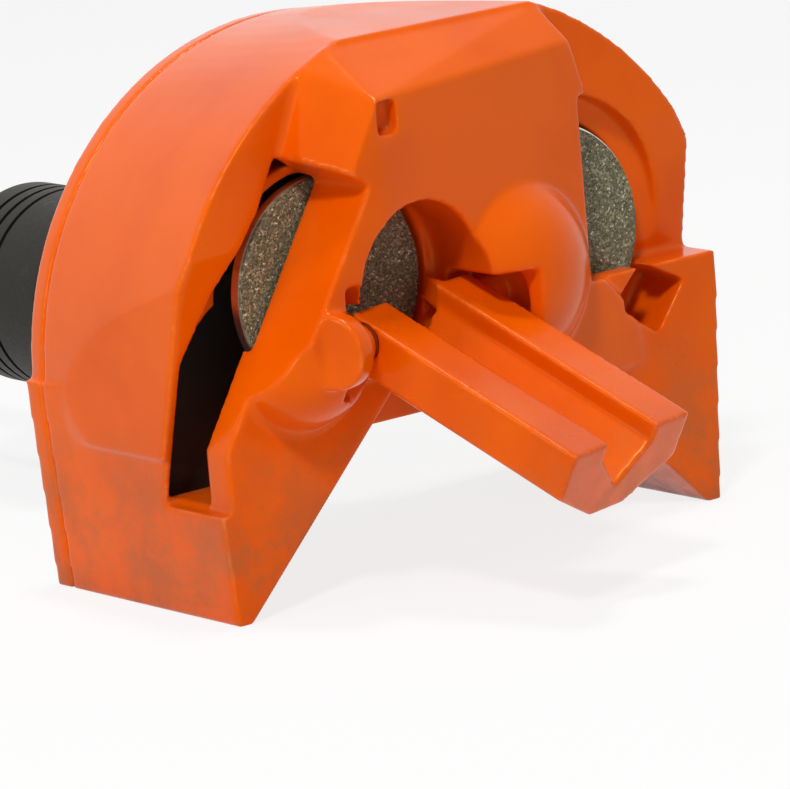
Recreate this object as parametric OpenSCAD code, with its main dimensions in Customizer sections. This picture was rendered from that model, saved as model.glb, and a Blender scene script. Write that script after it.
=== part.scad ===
// Drill-driven drill bit sharpener: a plastic housing on two legs, twin abrasive wheels
// geared to one input shaft, and a rocking V guide that offers the drill bit to a wheel.
// X is across, +Y points back along the drive shank, +Z is up. Units are millimetres.
// The origin is on the input shaft's axis, at the free end of its shank.

/* [Housing] */
// Half of the housing's width across the arch
half_w = 60; // [59:0.5:62]
// Radius of the arch at the front face
arch_r = 66; // [64:0.5:68]
// Radius of the arch at the back of the rear cover
arch_back_r = 60; // [59:0.5:61]
// Distance from the input shaft across to the middle of the arch
arch_x = 1.5; // [0:0.1:2]
// Height of the flat top above the input shaft
top_z = 62; // [60:0.5:64]
// Depth from the ring face to the back of the rear cover
body_d = 53; // [52:0.5:56]
// Thickness of the plastic walls
wall = 2.5; // [2:0.1:3]
// Half of the distance across the two feet
foot_x = 57; // [56:0.5:58]
// Drop from the input shaft to the soles of the feet
foot_drop = 38.5; // [37:0.5:42]
// Width of each sole
foot_w = 3; // [2:0.5:5]
// Drop from the input shaft to the underside between the legs
under_drop = 9; // [8.8:0.1:10]
// Thickness of the rear cover's rim, in front of its plate
cover_rim = 2; // [1:0.5:3]
// Thickness of the rear cover's plate
cover_t = 3; // [2.5:0.5:4]

/* [Nose block] */
// Reach of the nose block in front of the ring face
nose_reach = 16; // [14:0.5:18]
// Half-width of the nose block's top edge
nose_top_half = 27.5; // [26:0.5:28.5]
// Height of the nose block's top edge at its left corner
nose_top_z = 53; // [51:0.5:54]
// Turn of the nose block's front face, back towards the right
nose_turn = 10; // [8:0.5:12]
// Depth of each leg's front face in front of the ring face
leg_reach = 4; // [3:0.5:5]
// Drop of the left-hand ledge below the input shaft
left_ledge_drop = 18; // [16:0.5:20]
// Height of the right-hand ledge above the input shaft
right_ledge_rise = 9; // [8:0.5:10]
// Depth of the left-hand scoop beside the wheel, at its ledge
left_scoop = 13.5; // [11:0.5:15]
// Depth of the right-hand scoop beside the wheel, at its ledge
right_scoop = 5; // [4:0.5:7]
// Radius of the right-hand window round its wheel
window_r = 26.2; // [25:0.1:27]
// Depth of the right-hand window's rim behind the ring face
window_depth = 4.5; // [4:0.1:6]
// Depth of the dust pocket under the right-hand window
pocket_depth = 8; // [5:0.5:10]
// Depth of the left-hand slot's floor at its top
slot_depth = 3; // [2.6:0.1:4]

/* [Wheels] */
// Radius of each grinding wheel
wheel_r = 20.5; // [19:0.5:21.5]
// Thickness of each wheel's steel disc
wheel_t = 2; // [1.5:0.1:2.5]
// Thickness of the abrasive coat
grit_t = 0.8; // [0.5:0.1:1]
// Radius of the bare centre inside the abrasive coat
grit_in_r = 5.6; // [5.4:0.1:7]
// Distance across from the input shaft to each wheel's axis
wheel_x = 26; // [25.5:0.1:26.5]
// Distance from the ring face back to the abrasive's face
wheel_back = 1.5; // [1:0.1:2.5]
// Free gap round each wheel's rim
rim_gap = 1; // [0.8:0.1:1.6]
// Radius of the wheel spindles
spindle_r = 3; // [2.5:0.1:3.2]
// Radius of the wheel hubs
hub_r = 8; // [7:0.5:9]
// Length of the wheel hubs
hub_len = 4.7; // [3:0.1:6]
// Radius of the flat heads of the screws that hold the wheels
wheel_head_r = 5; // [4:0.1:5.2]
// Radius of the shanks of the screws that hold the wheels
wheel_screw_r = 1.6; // [1.2:0.1:1.8]
// Length of the screws that hold the wheels
wheel_screw_len = 11; // [9:0.5:14]

/* [Gear train] */
// Gear tooth module
gear_m = 1; // [0.98:0.01:1.02]
// Teeth on the input shaft's gear
drive_teeth = 26; // [25:1:26]
// Teeth on each wheel's gear
wheel_teeth = 37; // [36:1:38]
// Width of the gears
gear_t = 8; // [6:0.5:9]
// Backlash on the pitch circle, taken from each gear
backlash = 0.12; // [0.1:0.01:0.2]
// Distance from the rear cover's back forward to the gears' front faces
gear_back = 18; // [17.5:0.5:19]
// Distance from the ring face back to the gear plate
plate_y = 20; // [19.5:0.5:20.5]
// Thickness of the gear plate
plate_t = 4; // [3:0.5:4]

/* [Bushes and bearings] */
// Wall of the wheel bushes
bush_wall = 2; // [1.5:0.1:2.5]
// Length of the wheel bushes
bush_len = 7; // [6:0.5:7.5]
// Radial running clearance of shafts in bushes and of trunnions in the guide
run_gap = 0.05; // [0.03:0.01:0.08]
// Outer radius of the ball bearings
bearing_r = 11; // [10.8:0.1:12]
// Width of the ball bearings
bearing_w = 6; // [5:0.5:7]
// Balls in each bearing
ball_count = 10; // [8:1:11]
// Radius of the balls
ball_r = 1.3; // [1.1:0.05:1.35]

/* [Input shaft] */
// Radius of the input shaft and its shank
shaft_r = 5; // [4.8:0.1:5.2]
// Length of the shank that a drill chuck grips
shank_len = 24; // [20:1:32]

/* [Neck and grip] */
// Outer radius of the bearing neck
neck_r = 14.5; // [14:0.5:15.5]
// Length of the neck behind the rear cover
neck_len = 88; // [84:1:94]
// Radius of the neck's mounting flange
flange_r = 24; // [23:0.5:26]
// Thickness of the neck's mounting flange
flange_t = 3.5; // [3:0.5:5]
// Outer radius of the rubber grip
grip_r = 20; // [18.5:0.5:21]
// Length of the rubber grip
grip_len = 34; // [30:1:38]
// Radius on the rubber grip's ends
grip_round = 3; // [1.5:0.5:3]

/* [Drill guide] */
// Turn of the guide across, away from the wheel's axis
guide_yaw = 16; // [15:0.1:17]
// Slope of the guide down from level
guide_pitch = 27; // [25:0.1:28]
// Half-width of the guide
guide_half = 18.2; // [17:0.1:18.6]
// Reach of the guide in front of its pivot
guide_front = 48; // [40:1:52]
// Reach of the guide behind its pivot
guide_rear = 2; // [1.5:0.1:2.2]
// Half-width of the guide's channel
groove_half = 7.6; // [6:0.1:8.5]
// Depth of the channel's bottom below the pivot line
groove_drop = 7; // [6:0.5:7.5]
// Height of the guide's rails above the pivot line
rail_rise = 4; // [3.8:0.1:5]
// Height of the guide's upright sides below the pivot line
side_drop = 5.3; // [4.8:0.1:6]
// Drop of the guide's bottom below the pivot line
guide_drop = 12; // [10.5:0.1:12.5]
// Half-width of the guide's flat bottom
guide_foot_half = 5; // [3:0.5:10]
// Radius of the trunnions that the guide rocks on
trunnion_r = 2.4; // [2:0.1:2.4]
// Depth of the trunnions in the guide
trunnion_in = 5; // [4:0.5:6]
// Gap between the guide's sides and the pivot bosses
side_gap = 0.6; // [0.4:0.1:1]
// Length of the pivot bosses that stands free of the nose block
boss_stand = 3; // [2:0.1:3.2]
// Radius of the round recesses about the pivot bosses
recess_r = 10.5; // [8:0.5:11]
// Radius of the tunnel that leads the drill bit to the wheel
tunnel_r = 15; // [13:0.5:15.5]

/* [Fasteners] */
// Radius of the screw shanks
screw_r = 1.5; // [1.3:0.1:1.6]
// Radius of the screw heads
screw_head_r = 3; // [2.6:0.1:3.2]
// Height of the screw heads
screw_head_h = 1.8; // [1.4:0.1:2]
// Radius of the screw bosses
boss_r = 4; // [3.6:0.1:4.2]

/* [Hidden] */
$fn = 96;

ORANGE = "#EC5F05";
STEEL = "#B9BCC0";
DARK = "#2B2928";
BRONZE = "#B08A4A";
GRIT = "#6E6A60";

// Gap between pieces that are fitted together and don't turn on each other
fit_gap = 0.02;
// Overlap that lets one cut run cleanly through a face
cut = 1;

foot_z = -foot_drop;
under_z = -under_drop;
// Where the inside line of a leg crosses the shaft's height
leg_line = foot_x - foot_w + foot_z;
front_depth = body_d - cover_t - cover_rim;
wheel_pitch = gear_m * (drive_teeth + wheel_teeth) / 2;
wheel_z = sqrt(wheel_pitch * wheel_pitch - wheel_x * wheel_x);
disc_y = wheel_back + grit_t;
hub_y = disc_y + wheel_t;
chamber_r = wheel_r + rim_gap;
well_y = left_scoop + wall;
gear_room = 1;
gear_y = body_d - gear_back;
drive_tip_r = gear_m * (drive_teeth / 2 + 1);
belly_r = drive_tip_r + gear_room + wall;
belly_y = gear_y - 1.5 - wall;
bush_r = spindle_r + bush_wall;
bush_boss_r = bush_r + 3;
rear_bush_y = body_d - cover_t - bush_len + 1.5;
cover_y = front_depth;
neck_end = body_d + neck_len;
rear_bearing_y = neck_end - bearing_w - 4;
front_bearing_y = body_d - bearing_w;
shank_end = neck_end + 4 + shank_len;
shaft_start = gear_y - 1.5;
grip_start = neck_end - grip_len - 2;
ball_gap = 0.05;
ball_path_r = (bearing_r + shaft_r) / 2;
gear_pin_r = 1.25;
guide_bush_r = trunnion_r + 1;
shank_chamfer = 1;
// Turns of the gears that bring a tooth of one into a space of the other
drive_phase = 90;
mesh_angle = atan2(wheel_z, wheel_x);
drive_step = 360 / drive_teeth;
drive_offset = drive_phase + round((mesh_angle - drive_phase) / drive_step) * drive_step - mesh_angle;
wheel_phase = mesh_angle + 180 - drive_offset * drive_teeth / wheel_teeth + 180 / wheel_teeth;
// Distance across from the input shaft to the step in the left-hand leg
left_step_x = 56.4;
// The guide's pivot, on the axis of the drill bit that it holds
pivot = [-14.7, -9.5, 10.1];
// The tunnel's centre in X and Z
tunnel_x = -17;
tunnel_z = 18;
housing_bosses = [[-14, 50], [14, 50], [-49.5, -24], [49.5, -24]];
plate_bosses = [[0, 51], [-38, -14], [38, -14]];
neck_bolt_r = 19;
neck_bolts = [45, 135, 225, 315];

// ---- helpers -------------------------------------------------------------------

// Moves from the ring face's frame to the origin at the shank's end
module from_ring() {
    translate([0, -shank_end, 0]) children();
}

// Extrudes a shape drawn in X and Z from depth y0 back to depth y1
module slab(y0, y1) {
    translate([0, y1, 0]) rotate([90, 0, 0]) linear_extrude(y1 - y0) children();
}

// A solid bar round an axis along Y, at a place in X and Z
module rod(r, y0, y1, x = 0, z = 0) {
    translate([x, y1, z]) rotate([90, 0, 0]) cylinder(r = r, h = y1 - y0);
}

module tube(r_out, r_in, y0, y1, x = 0, z = 0) {
    difference() {
        rod(r_out, y0, y1, x, z);
        rod(r_in, y0 - cut, y1 + cut, x, z);
    }
}

// Puts the guide's frame at its pivot: X along the pivot, -Y down the channel
module guide_frame() {
    translate(pivot) rotate([0, 0, guide_yaw]) rotate([guide_pitch, 0, 0]) children();
}

// The level frame at the pivot, turned across only
module pivot_frame() {
    translate(pivot) rotate([0, 0, guide_yaw]) children();
}

// ---- housing outline -----------------------------------------------------------

module upper_outline(inset) {
    intersection() {
        translate([arch_x, 0]) circle(r = arch_r - inset);
        translate([inset - half_w, under_z + inset])
            square([2 * (half_w - inset), top_z - under_z - 2 * inset]);
    }
}

module leg_outline(inset) {
    tip_x = foot_x - inset;
    tip_z = leg_line - tip_x + inset * sqrt(2);
    shoulder_z = 1;
    inner_x = leg_line - shoulder_z + inset * sqrt(2);
    intersection() {
        polygon([[-half_w + inset, shoulder_z], [-tip_x, tip_z], [-inner_x, shoulder_z]]);
        translate([-half_w, foot_z + inset]) square([half_w, foot_drop + shoulder_z]);
    }
}

// Narrows the arch towards the back
module arch_cone(inset) {
    translate([arch_x, 0, 0]) rotate([-90, 0, 0]) rotate_extrude() polygon([
        [0, 0], [arch_r - inset, 0], [arch_back_r - inset, body_d],
        [arch_back_r - inset, body_d + cut], [0, body_d + cut]]);
}

// The housing's outer form, inset by a wall, from depth y0 back to depth y1
module body_form(inset, y0, y1) {
    intersection() {
        slab(y0, y1) upper_outline(inset);
        arch_cone(inset);
    }
    for (side = [0, 1]) mirror([side, 0, 0]) slab(y0, y1) leg_outline(inset);
}

// ---- front housing -------------------------------------------------------------

// Joins a front outline to a base outline on the ring face
module nose_hull() {
    hull() {
        slab(-nose_reach, 0.5 - nose_reach) children(0);
        slab(0, 0.5) children(1);
    }
}

module nose_block() {
    corner_x = nose_top_half - 2;
    difference() {
        union() {
            nose_hull() {
                polygon([[-corner_x, nose_top_z], [nose_top_half + 2, nose_top_z - 7.5], [25, 12.5],
                    [-22, 4], [-42, 5], [-46, 16]]);
                polygon([[-30, top_z - 4], [-24, top_z - 0.8], [25, top_z - 0.6],
                    [nose_top_half + 3, 46], [30, 13], [-22, 0], [-46, -2], [-54.5, 1], [-30, 37]]);
            }
            nose_hull() {
                polygon([[5, 13], [25, 13], [35, 1], [39, under_z], [5, under_z]]);
                polygon([[5, 13], [30, 13], [40, 2], [42, under_z], [5, under_z]]);
            }
        }
        translate([-corner_x, -nose_reach, 0]) rotate([0, 0, nose_turn])
            translate([0, -half_w, -half_w]) cube([2 * half_w, half_w, 2 * top_z]);
        nose_notch();
    }
}

// The small square notch in the nose block's front face, near its left corner
module nose_notch() {
    notch = 5;
    translate([2 - nose_top_half, -nose_reach - cut, nose_top_z - 1.5 - notch])
        cube([notch, notch, notch + 1]);
}

// The front face of the left leg, which stands forward of the ring face
module left_leg_front() {
    slab(-leg_reach, 0.5) leg_outline(0);
}

// The front face of the right leg, up to its ledge
module right_leg_front() {
    slab(-leg_reach, 0.5) {
        mirror([1, 0, 0]) leg_outline(0);
        intersection() {
            upper_outline(0);
            translate([34, 0]) square([half_w, right_ledge_rise]);
        }
    }
}

// The rounded domes on the nose block that the pivot's bosses stand on
module pivot_domes() {
    translate([8, 4, 14]) sphere(r = 22);
    translate([-38, -2, 8]) sphere(r = 14);
}

// A boss that carries one trunnion, from the guide's side back into its dome
module pivot_boss(side) {
    tip_r = 4.2;
    root_r = 7;
    start = guide_half + side_gap;
    pivot_frame() mirror([side, 0, 0]) rotate([0, 90, 0]) rotate_extrude() polygon([
        [0, start], [tip_r - 0.8, start], [tip_r, start + 0.8], [tip_r + 0.4, start + 3.4],
        [root_r, start + 5], [root_r, start + 9], [0, start + 9]]);
}

// A round recess about a boss, so that the boss stands free of the block
module pivot_recess(side) {
    depth = boss_stand + side_gap;
    pivot_frame() mirror([side, 0, 0]) intersection() {
        translate([guide_half, 0, 0]) rotate([0, 90, 0]) cylinder(r = recess_r, h = depth);
        translate([guide_half, guide_rear + 2 - 4 * recess_r, -2 * recess_r])
            cube([depth, 4 * recess_r, 4 * recess_r]);
    }
}

module trunnion(side) {
    pivot_frame() mirror([side, 0, 0]) rotate([0, 90, 0])
        translate([0, 0, guide_half - trunnion_in])
        cylinder(r = trunnion_r, h = trunnion_in + side_gap + boss_stand);
}

// Room for the guide to lie and rock in
module guide_bay() {
    half = guide_half + side_gap;
    pivot_frame() translate([-half, -80, -60])
        cube([2 * half, 80 + guide_rear + 2, 60 + rail_rise + 2.5]);
}

// The tunnel through the nose block to the left-hand wheel's face
module drill_tunnel() {
    rod(tunnel_r, -nose_reach - cut, wheel_back, tunnel_x, tunnel_z);
}

// The tall slot on the left, past the wheel's rim, with a deep pocket below the wheel
module left_slot() {
    ledge_z = -left_ledge_drop + 1;
    slot_top = 44;
    intersection() {
        sloped_block(slot_depth, slot_top, left_scoop + cut, ledge_z);
        slab(-nose_reach - cut, left_scoop + cut)
            polygon([[-37, 43.5], [-28.4, 38], [-left_step_x, -7], [-left_step_x, ledge_z],
                [-left_step_x - 1.2, ledge_z], [-left_step_x - 1.2, 0], [-57.5, 9], [-52, 21],
                [-42, 34]]);
    }
    slab(slot_depth, well_y + cut)
        polygon([[-44.5, 19], [-49.5, 16], [-54.5, 10], [-57, 3], [-57, ledge_z], [-40, ledge_z],
            [-38, 10]]);
}

// A wide block whose back slopes from depth y0 at height z0 to depth y1 at height z1
module sloped_block(y0, z0, y1, z1) {
    translate([-half_w - cut, 0, 0]) rotate([90, 0, 90]) linear_extrude(2 * (half_w + cut))
        polygon([[-nose_reach - cut, z0], [y0, z0], [y1, z1], [-nose_reach - cut, z1]]);
}

// A sloping scoop down one side, from the ring face back to its own ledge
module scoop(depth, start_z, ledge_z, profile) {
    intersection() {
        sloped_block(0, start_z, depth, ledge_z);
        slab(-nose_reach, depth + cut) polygon(profile);
    }
}

module left_scoop_cut() {
    ledge_z = -left_ledge_drop;
    scoop(left_scoop, 28, ledge_z, [[-half_w - cut, 30], [-46, 30], [-46, 10.5], [-51.5, 1],
        [-left_step_x, -7], [-left_step_x, ledge_z], [-half_w - cut, ledge_z]]);
}

module right_scoop_cut() {
    scoop(right_scoop, 36, right_ledge_rise, [[45, 40], [half_w + cut, 40],
        [half_w + cut, right_ledge_rise], [45, right_ledge_rise]]);
}

// Plastic that is left round the wheels and behind the scoops
module scoop_floors() {
    rod(chamber_r + wall, 0, well_y, -wheel_x, wheel_z);
    rod(window_r + 1.6 * wall, 0, well_y, wheel_x, wheel_z);
    translate([-half_w, 0, -left_ledge_drop - 5]) cube([14, left_scoop + wall, 52]);
    translate([half_w - 14, 0, right_ledge_rise - wall]) cube([14, right_scoop + wall, 34]);
}

// The open window on the right, round the wheel's rim
module right_window() {
    slab(-nose_reach - cut, window_depth) intersection() {
        translate([wheel_x, wheel_z]) circle(r = window_r);
        translate([wheel_x + 2, right_ledge_rise]) square([half_w, top_z]);
    }
}

// The square pocket under the right window, where the dust falls
module chip_pocket() {
    slab(-leg_reach - cut, pocket_depth)
        polygon([[35, 3], [42, right_ledge_rise + 1], [52, 5], [45, -4]]);
}

module wheel_chambers() {
    for (side = [-1, 1]) rod(chamber_r, wheel_back - 0.7, gear_y, side * wheel_x, wheel_z);
}

module front_housing() color(ORANGE) from_ring() {
    screw_bore = screw_r + fit_gap;
    difference() {
        union() {
            body_form(0, 0, front_depth);
            nose_block();
            pivot_domes();
            left_leg_front();
            right_leg_front();
            rod(belly_r, belly_y, front_depth);
        }
        difference() {
            body_form(wall, wall, front_depth + cut);
            for (b = housing_bosses) rod(boss_r, 0, front_depth, b[0], b[1]);
            for (b = plate_bosses) rod(boss_r, 0, plate_y, b[0], b[1]);
            scoop_floors();
        }
        rod(belly_r - wall, belly_y + wall, front_depth + cut);
        wheel_chambers();
        guide_bay();
        for (side = [0, 1]) pivot_recess(side);
        drill_tunnel();
        left_slot();
        left_scoop_cut();
        right_window();
        right_scoop_cut();
        chip_pocket();
        for (b = housing_bosses) rod(screw_bore, 20, front_depth + cut, b[0], b[1]);
        for (b = plate_bosses) rod(screw_bore, 8, plate_y + cut, b[0], b[1]);
    }
    for (side = [0, 1]) {
        difference() {
            pivot_boss(side);
            drill_tunnel();
            wheel_chambers();
        }
        trunnion(side);
    }
}

// ---- rear cover and gear plate -------------------------------------------------

module rear_cover() color(ORANGE) from_ring() {
    screw_bore = screw_r + fit_gap;
    difference() {
        union() {
            difference() {
                union() {
                    body_form(0, cover_y + fit_gap, body_d);
                    rod(belly_r, cover_y + fit_gap, body_d);
                }
                body_form(wall, cover_y - cut, body_d - cover_t);
                rod(belly_r - wall, cover_y - cut, body_d - cover_t);
            }
            for (side = [-1, 1])
                rod(bush_boss_r, rear_bush_y, body_d - cut, side * wheel_x, wheel_z);
            rod(bearing_r + wall, front_bearing_y, body_d);
            for (b = housing_bosses) rod(boss_r, cover_y + fit_gap, body_d - cut, b[0], b[1]);
            for (a = neck_bolts) rotate([0, -a, 0]) rod(boss_r, cover_y, body_d, neck_bolt_r, 0);
        }
        for (side = [-1, 1])
            rod(bush_r + fit_gap, rear_bush_y - cut, rear_bush_y + bush_len + fit_gap,
                side * wheel_x, wheel_z);
        rod(bearing_r + fit_gap, front_bearing_y - cut, body_d + cut);
        for (b = housing_bosses) {
            rod(screw_bore, cover_y - cut, body_d + cut, b[0], b[1]);
            rod(screw_head_r + 0.4, body_d - screw_head_h, body_d + cut, b[0], b[1]);
        }
        for (a = neck_bolts) rotate([0, -a, 0])
            rod(screw_bore, cover_y - cut, body_d + cut, neck_bolt_r, 0);
    }
}

module gear_plate() color(DARK) from_ring() {
    edge_gap = 0.3;
    difference() {
        union() {
            body_form(wall + edge_gap, plate_y + fit_gap, plate_y + plate_t);
            for (side = [-1, 1])
                rod(bush_boss_r, plate_y + plate_t - bush_len, plate_y + plate_t, side * wheel_x, wheel_z);
        }
        for (b = housing_bosses) rod(boss_r + edge_gap, plate_y - cut, plate_y + plate_t + cut, b[0], b[1]);
        for (b = plate_bosses) rod(screw_r + fit_gap, plate_y - cut, plate_y + plate_t + cut, b[0], b[1]);
        for (side = [-1, 1])
            rod(bush_r + fit_gap, 0, plate_y + plate_t + cut, side * wheel_x, wheel_z);
        slab(plate_y - cut, plate_y + plate_t + cut)
            translate([-half_w, -foot_drop]) square([2 * half_w, foot_drop / 2]);
    }
}

module wheel_bushes() color(BRONZE) from_ring() {
    for (side = [-1, 1], y = [plate_y + plate_t - bush_len, rear_bush_y])
        tube(bush_r, spindle_r + run_gap, y, y + bush_len, side * wheel_x, wheel_z);
}

// ---- neck and grip -------------------------------------------------------------

module bearing_neck() color(DARK) from_ring() {
    difference() {
        union() {
            rod(flange_r, body_d + fit_gap, body_d + flange_t);
            rod(neck_r, body_d + fit_gap, neck_end);
        }
        rod(bearing_r - 2, body_d - cut, neck_end);
        rod(bearing_r + fit_gap, rear_bearing_y, neck_end + cut);
        for (a = neck_bolts) rotate([0, -a, 0])
            rod(screw_r + fit_gap, body_d - cut, body_d + flange_t + cut, neck_bolt_r, 0);
        tube(neck_r + cut, neck_r - 1, grip_start - 1.4, grip_start - 0.4);
    }
}

module rubber_grip() color(DARK) from_ring() {
    rib_pitch = 4;
    rib_depth = 0.6;
    first_rib = grip_start + grip_len / 2;
    difference() {
        rotate([-90, 0, 0]) rotate_extrude() {
            difference() {
                translate([0, grip_start]) union() {
                    translate([neck_r + fit_gap, grip_round])
                        square([grip_r - neck_r - fit_gap, grip_len - 2 * grip_round]);
                    translate([neck_r + fit_gap, 0])
                        square([grip_r - neck_r - fit_gap - grip_round, grip_len]);
                    for (y = [grip_round, grip_len - grip_round])
                        translate([grip_r - grip_round, y]) circle(r = grip_round, $fn = 48);
                }
                square([neck_r + fit_gap, neck_end]);
            }
        }
        for (y = [first_rib : rib_pitch : neck_end - 8])
            tube(grip_r + cut, grip_r - rib_depth, y, y + 1.2);
    }
}

module bearing_at(y) {
    translate([0, y, 0]) children();
}

module bearing_outer_rings() color(STEEL) from_ring() {
    for (y = [front_bearing_y, rear_bearing_y]) bearing_at(y)
        tube(bearing_r, ball_path_r + ball_r + ball_gap, 0, bearing_w);
}

module bearing_inner_rings() color(STEEL) from_ring() {
    for (y = [front_bearing_y, rear_bearing_y]) bearing_at(y)
        tube(ball_path_r - ball_r - ball_gap, shaft_r + fit_gap, 0, bearing_w);
}

module bearing_balls() color(STEEL) from_ring() {
    for (y = [front_bearing_y, rear_bearing_y], k = [0 : ball_count - 1]) bearing_at(y)
        rotate([0, k * 360 / ball_count, 0]) translate([ball_path_r, bearing_w / 2, 0])
        sphere(r = ball_r, $fn = 32);
}

module neck_seal() color(DARK) from_ring() {
    tube(bearing_r, shaft_r + 0.3, neck_end - 2.4, neck_end - 0.4);
}

module neck_circlip() color(STEEL) from_ring() {
    tube(bearing_r, bearing_r - 2, rear_bearing_y + bearing_w + fit_gap, rear_bearing_y + bearing_w + 1.2);
}

// ---- fasteners -----------------------------------------------------------------

// A pan-head screw along Y, with its head's seat at depth y and its tip in front
module screw(y, len) {
    difference() {
        union() {
            rod(screw_r, y - len, y + 0.5);
            rod(screw_head_r, y, y + screw_head_h);
        }
        for (turn = [0, 90]) translate([0, y + screw_head_h, 0]) rotate([0, turn, 0])
            cube([screw_head_r, 1.6, 0.7], center = true);
    }
}

module housing_screws() color(STEEL) from_ring() {
    for (b = housing_bosses) translate([b[0], 0, b[1]])
        screw(body_d - screw_head_h + fit_gap, 24);
}

module plate_screws() color(STEEL) from_ring() {
    for (b = plate_bosses) translate([b[0], 0, b[1]]) screw(plate_y + plate_t + fit_gap, 10);
}

module neck_screws() color(STEEL) from_ring() {
    for (a = neck_bolts) rotate([0, -a, 0]) translate([neck_bolt_r, 0, 0])
        screw(body_d + flange_t + fit_gap, flange_t + cover_t + 1.5);
}

// ---- input shaft ---------------------------------------------------------------

module input_shaft() color(STEEL) from_ring() {
    difference() {
        union() {
            rod(shaft_r, shaft_start, shank_end);
            translate([0, shank_end, 0]) rotate([-90, 0, 0])
                cylinder(r1 = shaft_r, r2 = shaft_r - shank_chamfer, h = shank_chamfer);
        }
        translate([0, gear_y + gear_t / 2, 0])
            cylinder(r = gear_pin_r + fit_gap, h = 40, center = true);
        tube(shaft_r + cut, shaft_r - 0.5, gear_y - 1.05, gear_y - 0.05);
        tube(shaft_r + cut, shaft_r - 0.4, shank_end - shank_len - 2, shank_end - shank_len);
    }
}

// Width of a tooth, as an angle from its centre line, at radius r
function involute(a) = tan(a) * 180 / PI - a;
function tooth_half(r, teeth) =
    let (pitch_r = gear_m * teeth / 2, base_r = pitch_r * cos(20))
    90 / teeth - backlash / pitch_r * 90 / PI + involute(20)
    - (r > base_r ? involute(acos(base_r / r)) : 0);

module gear_outline(teeth, phase) {
    pitch_r = gear_m * teeth / 2;
    base_r = pitch_r * cos(20);
    root_r = pitch_r - 1.25 * gear_m;
    tip_r = pitch_r + gear_m;
    radii = [root_r, base_r, pitch_r, pitch_r + 0.55 * gear_m, tip_r];
    polygon([for (k = [0 : teeth - 1], side = [-1, 1], i = [0 : 4])
        let (r = radii[side < 0 ? i : 4 - i],
            a = phase + k * 360 / teeth + side * tooth_half(max(r, root_r), teeth))
        [r * cos(a), r * sin(a)]]);
}

module drive_gear() color(BRONZE) from_ring() {
    difference() {
        slab(gear_y, gear_y + gear_t) gear_outline(drive_teeth, drive_phase);
        rod(shaft_r + fit_gap, gear_y - cut, gear_y + gear_t + cut);
        translate([0, gear_y + gear_t / 2, 0]) cylinder(r = gear_pin_r + fit_gap, h = 40, center = true);
    }
}

module gear_pin() color(STEEL) from_ring() {
    translate([0, gear_y + gear_t / 2, 0])
        cylinder(r = gear_pin_r, h = 2 * (drive_tip_r - 3), center = true);
}

module shaft_circlip() color(STEEL) from_ring() {
    tube(shaft_r + 1.5, shaft_r - 0.5 + fit_gap, gear_y - 1, gear_y - 0.1);
}

// ---- wheels --------------------------------------------------------------------

// Children drawn on the right-hand wheel's axis, or mirrored to the left-hand one
module on_wheel(side) {
    from_ring() mirror([side < 0 ? 1 : 0, 0, 0]) translate([wheel_x, 0, wheel_z]) children();
}

module spindle(side) color(STEEL) on_wheel(side) difference() {
    rod(spindle_r, disc_y, rear_bush_y + bush_len - 0.5);
    rod(wheel_screw_r + fit_gap, disc_y - cut, disc_y + wheel_screw_len);
}

module wheel(side) color(STEEL) on_wheel(side)
    tube(wheel_r, spindle_r + fit_gap, disc_y, hub_y);

module grit(side) color(GRIT) on_wheel(side)
    tube(wheel_r - 0.4, grit_in_r, wheel_back, disc_y - fit_gap);

module hub(side) color(STEEL) on_wheel(side)
    tube(hub_r, spindle_r + fit_gap, hub_y + fit_gap, hub_y + hub_len);

// The low-headed screw that holds a wheel on its spindle, with a hexagon socket
module wheel_screw(side) color(STEEL) on_wheel(side) difference() {
    union() {
        rod(wheel_head_r, wheel_back + 0.1, disc_y - fit_gap);
        rod(wheel_screw_r, disc_y - 0.1, disc_y + wheel_screw_len - 1);
    }
    translate([0, disc_y + 2, 0]) rotate([90, 0, 0]) cylinder(r = 1.1, h = 4, $fn = 6);
}

module wheel_gear(side) color(BRONZE) on_wheel(side) difference() {
    hole_r = 0.16 * wheel_pitch * wheel_teeth / (wheel_teeth + drive_teeth);
    hole_ring_r = (spindle_r + gear_m * wheel_teeth / 2) / 2 + 0.3 * gear_m;
    union() {
        slab(gear_y, gear_y + gear_t) gear_outline(wheel_teeth, wheel_phase);
        rod(1.9 * spindle_r, plate_y + plate_t + 0.6, gear_y + gear_t);
    }
    rod(spindle_r + fit_gap, plate_y, gear_y + gear_t + 2);
    for (k = [0 : 5]) rotate([0, k * 60, 0])
        rod(hole_r, gear_y - cut, gear_y + gear_t + cut, hole_ring_r, 0);
}

module left_spindle() spindle(-1);
module left_wheel() wheel(-1);
module left_grit() grit(-1);
module left_hub() hub(-1);
module left_screw() wheel_screw(-1);
module left_gear() wheel_gear(-1);
module right_spindle() spindle(1);
module right_wheel() wheel(1);
module right_grit() grit(1);
module right_hub() hub(1);
module right_screw() wheel_screw(1);
module right_gear() wheel_gear(1);

// ---- drill guide ---------------------------------------------------------------

module guide_section() {
    polygon([[-guide_half, rail_rise], [-guide_half, -side_drop], [-guide_foot_half, -guide_drop],
        [guide_foot_half, -guide_drop], [guide_half, -side_drop], [guide_half, rail_rise],
        [groove_half, rail_rise], [groove_half, groove_half - groove_drop],
        [0, -groove_drop], [-groove_half, groove_half - groove_drop], [-groove_half, rail_rise]]);
}

// The pointed tongue of the far rail, which reaches into the tunnel
module guide_tongue() {
    translate([0, 0, -1]) linear_extrude(rail_rise + 1)
        polygon([[groove_half, 0], [guide_half - 6.5, 0], [guide_half - 7.5, 4], [groove_half + 1, 7]]);
}

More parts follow.
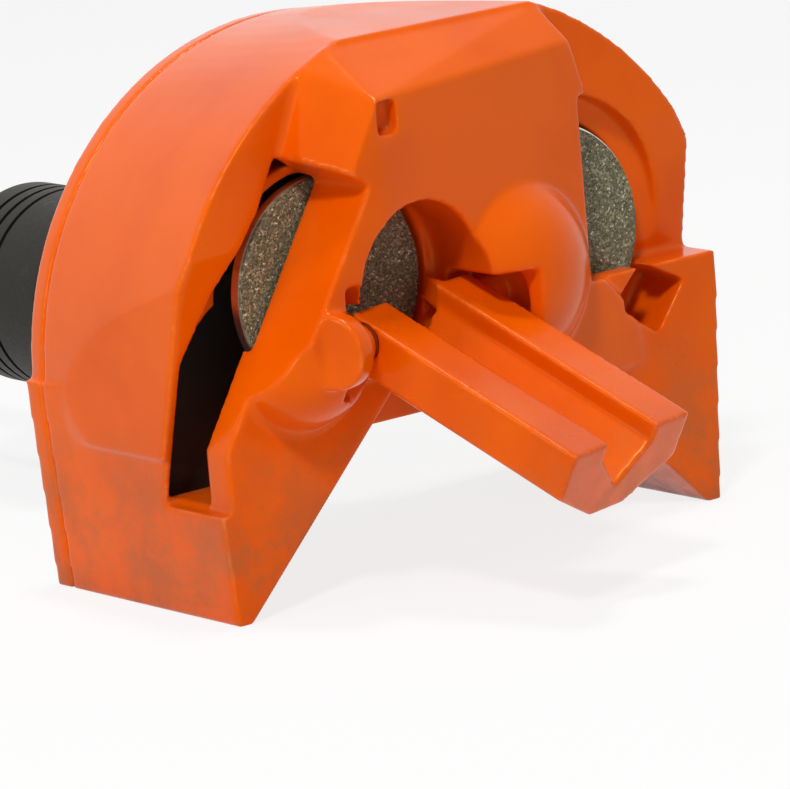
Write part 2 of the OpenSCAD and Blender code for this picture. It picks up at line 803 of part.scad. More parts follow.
// The guide's rear end is cut upright, so that it clears the nose block as it rocks
module drill_guide() color(ORANGE) from_ring() difference() {
    union() {
        difference() {
            guide_frame() translate([0, guide_rear + guide_drop, 0]) rotate([90, 0, 0])
                linear_extrude(guide_front + guide_rear + guide_drop) guide_section();
            pivot_frame() translate([-guide_half - cut, guide_rear, -60])
                cube([2 * (guide_half + cut), 40, 90]);
        }
        guide_frame() guide_tongue();
    }
    guide_frame() for (side = [-1, 1]) rotate([0, side * 90, 0])
        translate([0, 0, guide_half - trunnion_in - 0.5])
        cylinder(r = guide_bush_r + fit_gap, h = trunnion_in + cut + 0.5);
}

module guide_bushes() color(BRONZE) from_ring() guide_frame() {
    for (side = [-1, 1]) rotate([0, side * 90, 0]) translate([0, 0, guide_half - trunnion_in])
        difference() {
            cylinder(r = guide_bush_r, h = trunnion_in);
            translate([0, 0, -cut]) cylinder(r = trunnion_r + run_gap, h = trunnion_in + 2 * cut);
        }
}

front_housing();
rear_cover();
gear_plate();
wheel_bushes();
bearing_neck();
rubber_grip();
bearing_outer_rings();
bearing_balls();
neck_seal();
neck_circlip();
housing_screws();
plate_screws();
neck_screws();
input_shaft();
drive_gear();
gear_pin();
bearing_inner_rings();
shaft_circlip();
left_spindle();
left_wheel();
left_grit();
left_hub();
left_screw();
left_gear();
right_spindle();
right_wheel();
right_grit();
right_hub();
right_screw();
right_gear();
drill_guide();
guide_bushes();
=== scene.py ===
"""Looks of the drill bit sharpener: moulded shells, abrasive wheels, neck, fasteners and studio."""

import logging
import math
import random
from dataclasses import dataclass
from enum import Enum
from typing import Any

import bmesh
import bpy
from mathutils import Matrix, Vector


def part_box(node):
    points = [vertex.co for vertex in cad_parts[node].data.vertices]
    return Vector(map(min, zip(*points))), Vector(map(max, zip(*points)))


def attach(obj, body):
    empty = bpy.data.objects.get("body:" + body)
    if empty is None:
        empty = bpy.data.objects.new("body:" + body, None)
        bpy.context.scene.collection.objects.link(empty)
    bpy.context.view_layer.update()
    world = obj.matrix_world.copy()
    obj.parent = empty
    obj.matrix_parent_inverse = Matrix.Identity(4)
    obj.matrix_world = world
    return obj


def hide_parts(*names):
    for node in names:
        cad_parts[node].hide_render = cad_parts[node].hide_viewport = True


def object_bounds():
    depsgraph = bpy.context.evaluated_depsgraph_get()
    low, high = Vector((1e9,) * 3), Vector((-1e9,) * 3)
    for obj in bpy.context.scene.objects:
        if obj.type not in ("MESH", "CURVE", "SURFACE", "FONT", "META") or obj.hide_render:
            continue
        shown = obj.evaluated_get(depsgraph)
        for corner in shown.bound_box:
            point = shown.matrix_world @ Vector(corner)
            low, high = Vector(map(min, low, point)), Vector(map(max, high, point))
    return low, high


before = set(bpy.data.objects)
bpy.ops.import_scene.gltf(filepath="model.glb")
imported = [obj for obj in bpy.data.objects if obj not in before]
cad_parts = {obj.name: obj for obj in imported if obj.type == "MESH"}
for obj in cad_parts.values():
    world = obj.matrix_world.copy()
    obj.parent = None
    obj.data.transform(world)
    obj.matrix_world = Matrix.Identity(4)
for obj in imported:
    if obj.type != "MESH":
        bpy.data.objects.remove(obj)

LOG = logging.getLogger("sharpener")
MM = 0.001
CAD_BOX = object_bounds()
# Depth of the abrasive's face behind the housing's ring face
WHEEL_BACK = 1.5 * MM
RING_FACE_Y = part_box("left_grit")[0].y - WHEEL_BACK
WHITE = (1.0, 1.0, 1.0, 1.0)
Triple = tuple[float, float, float]


class Slot(Enum):
    """Material slots of the record."""

    ORANGE = "orange_plastic"
    DARK = "dark_plastic"
    RUBBER = "grip_rubber"
    STEEL = "steel"
    ABRASIVE = "abrasive"
    BRONZE = "bronze"
    BRASS = "brass"


class Body(Enum):
    """Rigid bodies of the frame."""

    HOUSING = "housing"
    INPUT = "input"
    LEFT_WHEEL = "left_wheel_set"
    RIGHT_WHEEL = "right_wheel_set"
    GUIDE = "guide"


@dataclass(frozen=True)
class Span:
    """The values at which a ramp starts and ends its rise."""

    low: float
    high: float


@dataclass(frozen=True)
class Pattern:
    """A noise: its grain in metres, octaves, their strength, its ramp and its stretch."""

    grain: float
    detail: float
    roughness: float
    span: Span = Span(0.0, 1.0)
    stretch: tuple[float, ...] = ()


@dataclass(frozen=True)
class Rounding:
    """How a mould's edges are rounded: the size of the new mesh's faces and the smoothing on it."""

    voxel: float
    passes: int
    share: float = 0.5


@dataclass(frozen=True)
class Panel:
    """A square soft light: its place from the wheels, its side in metres and its power in watts."""

    name: str
    offset: Triple
    side: float
    power: float


# ---- shader nodes ------------------------------------------------------------------


@dataclass
class Value:
    """A number that varies over a surface, held by an output socket."""

    tree: "NodeTree"
    socket: bpy.types.NodeSocket

    def _math(self, operation: str, first: Any, second: Any) -> "Value":
        """Adds a Math node and returns its result."""
        return self.tree.math(operation, first, second)

    def __add__(self, other: Any) -> "Value":
        """Sum."""
        return self._math("ADD", self, other)

    __radd__ = __add__

    def __sub__(self, other: Any) -> "Value":
        """Difference."""
        return self._math("SUBTRACT", self, other)

    def __rsub__(self, other: Any) -> "Value":
        """Difference from a plain number."""
        return self._math("SUBTRACT", other, self)

    def __mul__(self, other: Any) -> "Value":
        """Product."""
        return self._math("MULTIPLY", self, other)

    __rmul__ = __mul__

    def clamped(self) -> "Value":
        """This value held between 0 and 1."""
        return self.tree.math("ADD", self, 0.0, clamp=True)


class NodeTree:
    """The nodes of a material or of the world, with short ways to add to them."""

    def __init__(self, tree: bpy.types.NodeTree) -> None:
        """Wraps the nodes.

        Args:
            tree: the material's or the world's node tree.
        """
        self.nodes = tree.nodes
        self.links = tree.links

    def node(self, kind: str, settings: dict[str, Any], inputs: dict[Any, Any], out: Any = 0) -> Value:
        """Adds any node.

        Args:
            kind: the node's Blender type.
            settings: properties set first, such as an operation.
            inputs: sockets by name or index, each with a value or a Value to link.
            out: the output socket's name or index.

        Returns:
            The chosen output.
        """
        made = self.nodes.new(kind)
        for key, value in settings.items():
            setattr(made, key, value)
        for key, value in inputs.items():
            self.feed(made.inputs[key], value)
        return Value(self, made.outputs[out])

    def feed(self, socket: bpy.types.NodeSocket, value: Any) -> None:
        """Links or sets one input socket."""
        if isinstance(value, Value):
            self.links.new(value.socket, socket)
        else:
            socket.default_value = value

    def math(self, operation: str, first: Any, second: Any = 0.0, clamp: bool = False) -> Value:
        """Adds a Math node."""
        settings = {"operation": operation, "use_clamp": clamp}
        return self.node("ShaderNodeMath", settings, {0: first, 1: second})

    def ray(self, kind: str) -> Value:
        """1 for one kind of ray of the Light Path node, else 0."""
        return self.node("ShaderNodeLightPath", {}, {}, kind)

    def backdrop_rays(self) -> Value:
        """1 for rays that show the backdrop, straight or in metal and glass, else 0."""
        rays = self.ray("Is Camera Ray") + self.ray("Is Glossy Ray") + self.ray("Is Transmission Ray")
        return rays.clamped()


class Shader(NodeTree):
    """A material's nodes with a Principled BSDF and patterns to drive it."""

    def __init__(self, name: str) -> None:
        """Makes a new material.

        Args:
            name: the material's name.
        """
        self.material = bpy.data.materials.new(name)
        self.material.use_nodes = True
        super().__init__(self.material.node_tree)
        self.nodes.clear()
        self.output = self.nodes.new("ShaderNodeOutputMaterial")
        self.bsdf = self.nodes.new("ShaderNodeBsdfPrincipled")
        self.links.new(self.bsdf.outputs[0], self.output.inputs["Surface"])

    def place(self) -> Value:
        """The point on the surface in the object's own space, in metres."""
        return self.node("ShaderNodeTexCoord", {}, {}, "Object")

    def stretched(self, factors: tuple[float, ...]) -> Value:
        """The place, scaled along each axis."""
        settings = {"operation": "MULTIPLY"}
        return self.node("ShaderNodeVectorMath", settings, {0: self.place(), 1: factors})

    def noise(self, pattern: Pattern) -> Value:
        """A pattern's noise before its ramp.

        Args:
            pattern: the pattern.

        Returns:
            The noise, about 0 to 1.
        """
        where = self.stretched(pattern.stretch) if pattern.stretch else self.place()
        inputs = {"Vector": where, "Scale": 1.0 / pattern.grain, "Detail": pattern.detail,
                  "Roughness": pattern.roughness}
        return self.node("ShaderNodeTexNoise", {}, inputs, "Fac")

    def patches(self, pattern: Pattern) -> Value:
        """A pattern's noise, taken through its ramp."""
        return self.ramp(self.noise(pattern), pattern.span)

    def grains(self, size: float, out: str = "Color") -> Value:
        """Cells of a Voronoi pattern of that size in metres."""
        return self.node("ShaderNodeTexVoronoi", {}, {"Vector": self.place(), "Scale": 1.0 / size}, out)

    def ramp(self, value: Value, span: Span) -> Value:
        """A smooth rise from 0 to 1.

        Args:
            value: the value to take through it.
            span: where the rise starts and ends.

        Returns:
            The ramped value.
        """
        settings = {"interpolation_type": "SMOOTHSTEP"}
        inputs = {"Value": value, "From Min": span.low, "From Max": span.high}
        return self.node("ShaderNodeMapRange", settings, inputs)

    def mix(self, factor: Any, first: Any, second: Any) -> Value:
        """Mixes two colours.

        Args:
            factor: share of the second colour.
            first: one colour.
            second: the other colour.

        Returns:
            The mixed colour.
        """
        settings = {"data_type": "RGBA"}
        # The Mix node's colour sockets are 6 and 7, and its colour result is 2
        inputs = {0: factor, 6: self._rgba(first), 7: self._rgba(second)}
        return self.node("ShaderNodeMix", settings, inputs, 2)

    @staticmethod
    def _rgba(colour: Any) -> Any:
        """A colour with its alpha, or a link as it is."""
        return colour if isinstance(colour, Value) else (*colour[:3], 1.0)

    def separate(self, vector: Value, axis: int) -> Value:
        """One component of a vector."""
        return self.node("ShaderNodeSeparateXYZ", {}, {0: vector}, axis)

    def bump(self, height: Value, distance: float, strength: float = 1.0, under: Any = None) -> Value:
        """A Bump node's normal.

        Args:
            height: the height pattern.
            distance: the height of a step of 1, in metres.
            strength: share of the effect.
            under: another Bump's normal to build on.

        Returns:
            The bent normal.
        """
        inputs = {"Height": height, "Distance": distance, "Strength": strength}
        if under is not None:
            inputs["Normal"] = under
        return self.node("ShaderNodeBump", {}, inputs, "Normal")

    def surface(self, **sockets: Any) -> bpy.types.Material:
        """Sets the Principled BSDF's sockets, with underscores for spaces.

        Returns:
            The finished material.
        """
        for key, value in sockets.items():
            socket = self.bsdf.inputs[key.replace("_", " ")]
            if socket.type == "RGBA" and not isinstance(value, Value):
                value = self._rgba(value)
            self.feed(socket, value)
        return self.material


# ---- finishes ----------------------------------------------------------------------


@dataclass(frozen=True)
class MouldedPlastic:
    """Glossy moulded plastic with a faint orange peel and handling scuffs, painted highlights and wear on
    the edges, painted shade in the corners and towards the bottom.
    """

    name: str
    colour: Triple = (0.90, 0.122, 0.0)
    deep: Triple = (0.78, 0.088, 0.0)
    sheen: Triple = (1.0, 0.60, 0.16)
    # Pale tone: a painted highlight with wear on the convex edges, and the colour of the scuffs
    pale: Triple = (0.95, 0.36, 0.14)
    # Painted shade colour: a darker brown for the concave corners and the lower part
    shade_colour: Triple = (0.50, 0.120, 0.035)
    roughness: float = 0.17
    specular: float = 0.28
    coat: float = 0.05
    coat_roughness: float = 0.04
    cloud: Pattern = Pattern(34 * MM, 4.0, 0.5, Span(0.35, 0.75))
    flow: Pattern = Pattern(9 * MM, 3.0, 0.6, Span(0.35, 0.8), (1.0, 0.35, 1.0))
    flow_roughness: float = 0.10
    edges: Span = Span(0.515, 0.56)
    wear_and_highlight: Pattern = Pattern(4 * MM, 5.0, 0.7, Span(0.42, 0.62))
    highlight_and_wear_share: float = 0.30
    wear_roughness: float = 0.08
    scratch: Pattern = Pattern(1.2 * MM, 6.0, 0.8, Span(0.66, 0.74), (0.25, 1.0, 2.2))
    scuffed: Pattern = Pattern(16 * MM, 2.0, 0.5, Span(0.52, 0.68))
    scuff: float = 0.35
    scratch_roughness: float = 0.25
    scratch_depth: float = 0.01 * MM
    scratch_strength: float = 0.5
    # Painted shade towards the bottom: the heights below the axis where it starts and where it is full
    shade_depths: Span = Span(-4 * MM, 30 * MM)
    low_shade: Pattern = Pattern(11 * MM, 6.0, 0.65, Span(0.38, 0.66))
    low_shade_share: float = 0.75
    low_shade_roughness: float = 0.2
    # Painted shade in the concave corners: the pointiness span and its share
    corners: Span = Span(0.49, 0.44)
    corner_shade_share: float = 0.6
    peel: Pattern = Pattern(1.1 * MM, 2.0, 0.5)
    peel_height: float = 0.012 * MM

    def build(self) -> bpy.types.Material:
        """Makes the material."""
        shader = Shader(self.name)
        tone = shader.mix(shader.patches(self.cloud), self.colour, self.deep)
        edge = shader.node("ShaderNodeNewGeometry", {}, {}, "Pointiness")
        # Painted highlight with wear: convex edges, found by pointiness, lighten in noise patches
        worn_and_highlit = shader.ramp(edge, self.edges) * shader.patches(self.wear_and_highlight)
        scratches = shader.noise(self.scratch)
        marks = shader.ramp(scratches, self.scratch.span) * shader.patches(self.scuffed)
        # Painted shade: the shell gets darker and browner towards the bottom, in noise patches, and rougher
        # there too
        low = shader.ramp(0.0 - shader.separate(shader.place(), 2), self.shade_depths)
        low_shade = low * shader.patches(self.low_shade)
        tone = shader.mix(low_shade * self.low_shade_share, tone, self.shade_colour)
        # Painted shade in the concave corners, found by pointiness
        tone = shader.mix(shader.ramp(edge, self.corners) * self.corner_shade_share, tone, self.shade_colour)
        tone = shader.mix(worn_and_highlit * self.highlight_and_wear_share, tone, self.pale)
        tone = shader.mix(marks * self.scuff, tone, self.pale)
        rough = self.roughness + self.flow_roughness * shader.patches(self.flow)
        rough = rough + self.scratch_roughness * marks + self.wear_roughness * worn_and_highlit
        rough = rough + self.low_shade_roughness * low_shade
        peel = shader.bump(shader.noise(self.peel), self.peel_height)
        bent = shader.bump(scratches, self.scratch_depth, self.scratch_strength, peel)
        return shader.surface(
            Base_Color=tone, Roughness=rough, Normal=bent, Specular_IOR_Level=self.specular,
            Specular_Tint=self.sheen, Coat_Weight=self.coat, Coat_Roughness=self.coat_roughness)


@dataclass(frozen=True)
class MattPlastic:
    """Dark plastic with a fine spark-eroded texture."""

    name: str
    colour: Triple = (0.028, 0.026, 0.020)
    dust: Triple = (0.11, 0.10, 0.08)
    texture: Pattern = Pattern(0.5 * MM, 4.0, 0.65)
    dusty: Pattern = Pattern(7 * MM, 5.0, 0.6, Span(0.52, 0.8))
    dust_share: float = 0.35
    roughness: float = 0.42
    texture_roughness: float = 0.22
    texture_height: float = 0.03 * MM

    def build(self) -> bpy.types.Material:
        """Makes the material."""
        shader = Shader(self.name)
        texture = shader.noise(self.texture)
        tone = shader.mix(self.dust_share * shader.patches(self.dusty), self.colour, self.dust)
        rough = self.roughness + self.texture_roughness * texture
        return shader.surface(Base_Color=tone, Roughness=rough,
                              Normal=shader.bump(texture, self.texture_height))


@dataclass(frozen=True)
class GripRubber:
    """Black rubber, polished by hands, with dry pale rubs and a few chafed nicks."""

    name: str
    colour: Triple = (0.013, 0.011, 0.007)
    rubbed: Triple = (0.14, 0.13, 0.10)
    chafe: Triple = (0.34, 0.31, 0.26)
    nicks: Pattern = Pattern(2.4 * MM, 6.0, 0.75, Span(0.66, 0.72), (1.6, 0.5, 1.0))
    patches: Pattern = Pattern(5 * MM, 5.0, 0.7, Span(0.57, 0.72))
    along: Pattern = Pattern(2.2 * MM, 4.0, 0.6, Span(0.4, 0.7), (1.0, 0.2, 1.0))
    rub_share: float = 0.55
    nick_share: float = 0.7
    skin: Pattern = Pattern(0.8 * MM, 4.0, 0.7)
    skin_height: float = 0.04 * MM
    roughness: float = 0.36
    skin_roughness: float = 0.30
    specular: float = 0.25

    def build(self) -> bpy.types.Material:
        """Makes the material."""
        shader = Shader(self.name)
        skin = shader.noise(self.skin)
        rubs = self.rub_share * shader.patches(self.patches) * shader.patches(self.along)
        tone = shader.mix(rubs, self.colour, self.rubbed)
        tone = shader.mix(self.nick_share * shader.patches(self.nicks), tone, self.chafe)
        rough = self.roughness + self.skin_roughness * skin
        return shader.surface(Base_Color=tone, Roughness=rough, Specular_IOR_Level=self.specular,
                              Normal=shader.bump(skin, self.skin_height))


@dataclass(frozen=True)
class Metal:
    """Steel, bronze or brass with fine tool marks and darker stains or tarnish."""

    name: str
    colour: Triple = (0.55, 0.54, 0.52)
    stain: Triple = (0.24, 0.20, 0.16)
    marks: Pattern = Pattern(0.5 * MM, 5.0, 0.75, stretch=(1.0, 6.0, 1.0))
    oily: Pattern = Pattern(4 * MM, 4.0, 0.6, Span(0.5, 0.78))
    stain_share: float = 0.6
    roughness: float = 0.26
    mark_roughness: float = 0.18
    stain_roughness: float = 0.16
    mark_depth: float = 0.01 * MM

    def build(self) -> bpy.types.Material:
        """Makes the material."""
        shader = Shader(self.name)
        lines = shader.noise(self.marks)
        stains = shader.patches(self.oily)
        tone = shader.mix(self.stain_share * stains, self.colour, self.stain)
        rough = self.roughness + self.mark_roughness * lines + self.stain_roughness * stains
        bent = shader.bump(lines, self.mark_depth)
        return shader.surface(Base_Color=tone, Metallic=1.0, Roughness=rough, Normal=bent)


def cast_metal(name: str, colour: Triple, tarnish: Triple) -> bpy.types.Material:
    """Bronze or brass.

    Args:
        name: the material's name.
        colour: its clean colour.
        tarnish: its dull colour.

    Returns:
        The material.
    """
    marks = Pattern(0.6 * MM, 4.0, 0.7, stretch=(1.0, 4.0, 1.0))
    dull = Pattern(5 * MM, 5.0, 0.6, Span(0.45, 0.8))
    return Metal(name, colour, tarnish, marks, dull, stain_share=0.7, roughness=0.3,
                 mark_roughness=0.2, stain_roughness=0.0).build()


@dataclass(frozen=True)
class AbrasiveCoat:
    """Grey-green grit bonded to the wheel, with glossier facets, painted glints on some grains and painted
    shade for the gaps between the grains.
    """

    name: str
    bond: Triple = (0.140, 0.134, 0.072)
    grit: Triple = (0.31, 0.295, 0.170)
    # Painted shade for the gaps between the grains
    gap_shade: Triple = (0.062, 0.058, 0.030)
    # Painted glints: a bright colour standing in for light off some grains
    spark: Triple = (0.74, 0.72, 0.58)
    grain: float = 0.4 * MM
    fine_share: float = 0.72
    grit_span: Span = Span(0.35, 0.95)
    gap_shade_span: Span = Span(0.70, 0.86)
    glint_span: Span = Span(0.72, 0.80)
    facet_span: Span = Span(0.8, 0.95)
    roughness: float = 0.72
    facet_gloss: float = 0.4
    dome: float = 0.8
    fine_height: float = 0.4
    height: float = 0.10 * MM

    def build(self) -> bpy.types.Material:
        """Makes the material."""
        shader = Shader(self.name)
        cell = shader.separate(shader.grains(self.grain), 0)
        other = shader.separate(shader.grains(self.grain * self.fine_share), 1)
        near = shader.grains(self.grain, "Distance")
        tone = shader.mix(shader.ramp(cell, self.grit_span), self.bond, self.grit)
        # Painted shade: darker cells standing for the shaded gaps between the grains
        tone = shader.mix(shader.ramp(other, self.gap_shade_span), tone, self.gap_shade)
        # Painted glints on the grains where both cell patterns are high
        tone = shader.mix(shader.ramp(cell * other, self.glint_span), tone, self.spark)
        rough = self.roughness - self.facet_gloss * shader.ramp(cell, self.facet_span)
        height = 1.0 - near * self.dome + self.fine_height * other
        return shader.surface(Base_Color=tone, Roughness=rough, Normal=shader.bump(height, self.height))


@dataclass(frozen=True)
class StudioFloor:
    """Pale floor that shows nearly white and keeps the shadow."""

    name: str
    colour: Triple = (0.93, 0.93, 0.92)
    roughness: float = 0.9
    specular: float = 0.1
    lift: float = 0.82

    def build(self) -> bpy.types.Material:
        """Makes the material."""
        shader = Shader(self.name)
        shader.surface(Base_Color=self.colour, Roughness=self.roughness, Specular_IOR_Level=self.specular)
        lit = Value(shader, shader.bsdf.outputs[0])
        glow = shader.node("ShaderNodeEmission", {}, {"Color": WHITE})
        shown = shader.backdrop_rays() * self.lift
        blend = shader.node("ShaderNodeMixShader", {}, {0: shown, 1: lit, 2: glow})
        shader.feed(shader.output.inputs["Surface"], blend)
        return shader.material


class Finishes:
    """Every finish of the sharpener, built once."""

    def __init__(self) -> None:
        """Builds the materials."""
        self.orange = MouldedPlastic("orange_shell").build()
        self.cover = MouldedPlastic("orange_cover", scuff=0.8, roughness=0.15).build()
        self.guide = MouldedPlastic("orange_guide", scuff=0.5, roughness=0.22).build()
        self.dark = MattPlastic("dark_plastic").build()
        self.rubber = GripRubber("grip_rubber").build()
        self.steel = Metal("turned_steel").build()
        self.disc = Metal("wheel_steel", colour=(0.72, 0.68, 0.62), roughness=0.2).build()
        self.screw = Metal("screw_steel", colour=(0.42, 0.42, 0.42)).build()
        self.bronze = cast_metal("bush_bronze", (0.50, 0.30, 0.13), (0.20, 0.11, 0.05))
        self.brass = cast_metal("gear_brass", (0.66, 0.46, 0.18), (0.28, 0.18, 0.07))
        self.grit = AbrasiveCoat("abrasive_coat").build()


# ---- meshes ------------------------------------------------------------------------


def add_object(name: str, mesh: bpy.types.Mesh, material: bpy.types.Material) -> bpy.types.Object:
    """Links a mesh to the scene with one material.

    Args:
        name: the piece's name.
        mesh: its mesh.
        material: its finish.

    Returns:
        The new object.
    """
    made = bpy.data.objects.new(name, mesh)
    bpy.context.scene.collection.objects.link(made)
    mesh.materials.clear()
    mesh.materials.append(material)
    return made


def seat(piece: bpy.types.Object, body: Body, slot: Slot, *nodes: str) -> bpy.types.Object:
    """Rides a piece on its body and hides the nodes that it stands for.

    Args:
        piece: the piece, in place.
        body: the body that carries it.
        slot: the record's material slot; not used.
        nodes: CAD nodes that it replaces.

    Returns:
        The piece.
    """
    if nodes:
        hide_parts(*nodes)
    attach(piece, body.value)
    LOG.info("%s: %d faces on %s", piece.name, len(piece.data.polygons), body.value)
    return piece


def moulded(node: str, name: str, material: bpy.types.Material, rounding: Rounding) -> bpy.types.Object:
    """A copy of a CAD node with its edges rounded as a mould rounds them.

    Args:
        node: the CAD node.
        name: the new piece's name.
        material: its finish.
        rounding: the new mesh's faces and the smoothing that rounds its edges.

    Returns:
        The new piece.
    """
    rough = bpy.data.objects.new(name + "_rough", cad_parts[node].data.copy())
    bpy.context.scene.collection.objects.link(rough)
    remesh = rough.modifiers.new("skin", "REMESH")
    remesh.mode = "VOXEL"
    remesh.voxel_size = rounding.voxel
    remesh.use_smooth_shade = True
    soften = rough.modifiers.new("soften", "SMOOTH")
    soften.factor = rounding.share
    soften.iterations = rounding.passes
    bpy.context.view_layer.update()
    graph = bpy.context.evaluated_depsgraph_get()
    mesh = bpy.data.meshes.new_from_object(rough.evaluated_get(graph))
    bpy.data.objects.remove(rough)
    mesh.name = name
    made = add_object(name, mesh, material)
    for face in mesh.polygons:
        face.use_smooth = True
    return made


# ---- sub-assemblies ----------------------------------------------------------------


@dataclass
class MouldedBody:
    """The orange shells: front housing, rear cover and drill guide."""

    finishes: Finishes
    shell: Rounding = Rounding(0.50 * MM, 14)
    block: Rounding = Rounding(0.45 * MM, 10)

    def build(self) -> None:
        """Makes the three moulded pieces."""
        looks = self.finishes
        front = moulded("front_housing", "front_shell", looks.orange, self.shell)
        seat(front, Body.HOUSING, Slot.ORANGE, "front_housing")
        cover = moulded("rear_cover", "rear_shell", looks.cover, self.shell)
        seat(cover, Body.HOUSING, Slot.ORANGE, "rear_cover")
        guide = moulded("drill_guide", "guide_block", looks.guide, self.block)
        seat(guide, Body.GUIDE, Slot.ORANGE, "drill_guide")


@dataclass
class GrindingWheels:
    """The abrasive coats, with grains that stand out of the bond."""

    finishes: Finishes
    ring_step: float = 0.5 * MM
    fewest_rings: int = 4
    stagger: float = 0.5
    grain_height: float = 0.14 * MM
    seed: int = 7

    def build(self) -> None:
        """Makes one coat on each wheel."""
        random.seed(self.seed)
        for side, body in (("left", Body.LEFT_WHEEL), ("right", Body.RIGHT_WHEEL)):
            node = side + "_grit"
            coat = self._coat(node, side + "_coat")
            seat(coat, body, Slot.ABRASIVE, node)

    def _coat(self, node: str, name: str) -> bpy.types.Object:
        """A grainy ring in the place of a CAD coat.

        Args:
            node: the CAD coat.
            name: the new piece's name.

        Returns:
            The new piece.
        """
        low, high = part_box(node)
        centre = (low + high) / 2
        outer = (high.x - low.x) / 2
        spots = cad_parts[node].data.vertices
        hole = min(math.hypot(spot.co.x - centre.x, spot.co.z - centre.z) for spot in spots)
        rings = max(self.fewest_rings, round((outer - hole) / self.ring_step))
        spokes = round(2 * math.pi * outer / self.ring_step)
        shape = bmesh.new()

        def point(radius: float, spoke: float, depth: float) -> bmesh.types.BMVert:
            """Adds a point on a ring round the wheel's axis."""
            angle = 2 * math.pi * spoke / spokes
            return shape.verts.new((centre.x + radius * math.cos(angle), depth,
                                    centre.z + radius * math.sin(angle)))

        rows = []
        for ring in range(rings + 1):
            radius = hole + (outer - hole) * ring / rings
            shift = self.stagger * (ring % 2)
            at_rim = ring in (0, rings)
            rows.append([point(radius, spoke + shift, low.y + self.grain_height - self._rise(at_rim))
                         for spoke in range(spokes)])
        rows += [[point(radius, spoke, high.y) for spoke in range(spokes)] for radius in (outer, hole)]
        rows.append(rows[0])
        for near, far in zip(rows, rows[1:]):
            for k in range(spokes):
                after = (k + 1) % spokes
                shape.faces.new((near[k], near[after], far[after], far[k]))
        bmesh.ops.recalc_face_normals(shape, faces=shape.faces)
        mesh = bpy.data.meshes.new(name)
        shape.to_mesh(mesh)
        shape.free()
        return add_object(name, mesh, self.finishes.grit)

    def _rise(self, at_rim: bool) -> float:
        """Height of the next grain, or none at the coat's two edges."""
        return 0.0 if at_rim else random.random() * self.grain_height


@dataclass
class CarriedNodes:
    """CAD nodes that keep their own shape and get a finish."""

    finishes: Finishes

    def build(self) -> None:
        """Dresses every node that stays visible."""
        looks = self.finishes
        groups = {
            looks.dark: ("gear_plate", "bearing_neck"),
            looks.rubber: ("rubber_grip", "neck_seal"),
            looks.bronze: ("wheel_bushes", "guide_bushes"),
            looks.brass: ("drive_gear", "left_gear", "right_gear"),
            looks.disc: ("left_wheel", "right_wheel"),
            looks.screw: ("housing_screws", "plate_screws", "neck_screws", "left_screw", "right_screw"),
            looks.steel: ("bearing_outer_rings", "bearing_balls", "bearing_inner_rings", "neck_circlip",
                          "input_shaft", "gear_pin", "shaft_circlip", "left_spindle", "right_spindle",
                          "left_hub", "right_hub"),
        }
        for material, names in groups.items():
            for name in names:
                self._dress(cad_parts[name], material)

    def _dress(self, node: bpy.types.Object, material: bpy.types.Material) -> None:
        """Gives one node its material.

        Args:
            node: the CAD node's object.
            material: its finish.
        """
        for place in range(max(1, len(node.data.materials))):
            if place < len(node.data.materials):
                node.data.materials[place] = material
            else:
                node.data.materials.append(material)
        LOG.info("%s: dressed in %s", node.name, material.name)


# ---- studio ------------------------------------------------------------------------


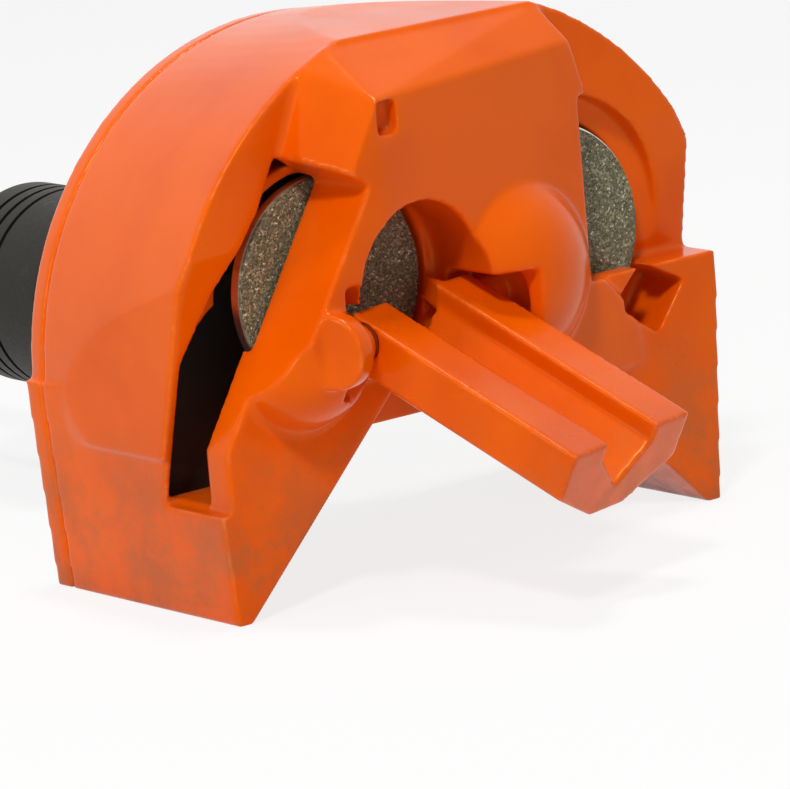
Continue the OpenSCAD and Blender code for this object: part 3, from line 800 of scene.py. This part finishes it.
@dataclass
class Studio:
    """Floor, lights, world and camera."""

    azimuth: float = math.radians(-37)
    elevation: float = math.radians(12)
    roll: float = math.radians(5)
    distance: float = 1.174
    aim_right: float = 11.373 * MM
    aim_up: float = 7.246 * MM
    lens: float = 291.65
    sensor: float = 36.0
    clip_start: float = 0.05
    floor_half: float = 4.0
    world_strength: float = 0.20
    panels: tuple[Panel, ...] = (
        Panel("key", (-0.65, -0.60, 1.1), 0.18, 9.6),
        Panel("top", (0.10, 0.05, 1.2), 0.22, 5.2),
        Panel("side", (-1.2, 0.1, 0.45), 0.30, 2.0),
    )

    def build(self) -> None:
        """Makes the whole studio."""
        self._floor()
        self._world()
        self._lights()
        self._camera()

    def _floor(self) -> None:
        """A wide pale floor just under the feet."""
        mesh = bpy.data.meshes.new("floor")
        half = self.floor_half
        level = CAD_BOX[0][2]
        corners = [(-half, -half, level), (half, -half, level), (half, half, level), (-half, half, level)]
        mesh.from_pydata(corners, [], [(0, 1, 2, 3)])
        floor = add_object("floor", mesh, StudioFloor("studio_floor").build())

    def _world(self) -> None:
        """Surroundings that show white and light the object only a little."""
        world = bpy.data.worlds.new("studio")
        bpy.context.scene.world = world
        world.use_nodes = True
        tree = NodeTree(world.node_tree)
        back = tree.nodes["Background"]
        back.inputs["Color"].default_value = WHITE
        levels = {"Value": tree.backdrop_rays(), "To Min": self.world_strength, "To Max": 1.0}
        tree.feed(back.inputs["Strength"], tree.node("ShaderNodeMapRange", {}, levels))

    def _lights(self) -> None:
        """A small key above the front, a top light and a low panel beside the left-hand wall."""
        for panel in self.panels:
            self._lamp(panel, Vector((0.0, RING_FACE_Y, 0.0)))

    def _lamp(self, panel: Panel, target: Vector) -> None:
        """Sets up one panel.

        Args:
            panel: the panel.
            target: the point it faces.
        """
        data = bpy.data.lights.new(panel.name, "AREA")
        data.size = panel.side
        data.energy = panel.power
        lamp = bpy.data.objects.new(panel.name, data)
        offset = Vector(panel.offset)
        lamp.location = target + offset
        lamp.rotation_euler = (-offset).to_track_quat("-Z", "Y").to_euler()
        bpy.context.scene.collection.objects.link(lamp)

    def _camera(self) -> None:
        """The view from the front left, slightly above and slightly rolled."""
        turn, tilt, roll = self.azimuth, self.elevation, self.roll
        ahead = Vector((-math.sin(turn) * math.cos(tilt), math.cos(turn) * math.cos(tilt), -math.sin(tilt)))
        level = Vector((math.cos(turn), math.sin(turn), 0.0))
        above = level.cross(ahead)
        right = math.cos(roll) * level - math.sin(roll) * above
        up = math.sin(roll) * level + math.cos(roll) * above
        middle = Vector((0.0, RING_FACE_Y, 0.0))
        place = middle - right * self.aim_right - up * self.aim_up - ahead * self.distance
        data = bpy.data.cameras.new("camera")
        data.sensor_width = self.sensor
        data.lens = self.lens
        data.clip_start = self.clip_start
        camera = bpy.data.objects.new("camera", data)
        axes = Matrix((right, up, -ahead)).transposed()
        camera.matrix_world = Matrix.Translation(place) @ axes.to_4x4()
        bpy.context.scene.collection.objects.link(camera)
        bpy.context.scene.camera = camera


def main() -> None:
    """Builds the pieces and the studio in order."""
    logging.basicConfig(level=logging.INFO, format="%(name)s: %(message)s")
    bpy.context.scene.view_settings.view_transform = "Standard"
    finishes = Finishes()
    for part in (MouldedBody(finishes), GrindingWheels(finishes), CarriedNodes(finishes), Studio()):
        part.build()
        LOG.info("%s is in place", type(part).__name__)


if __name__ == "__main__":
    main()
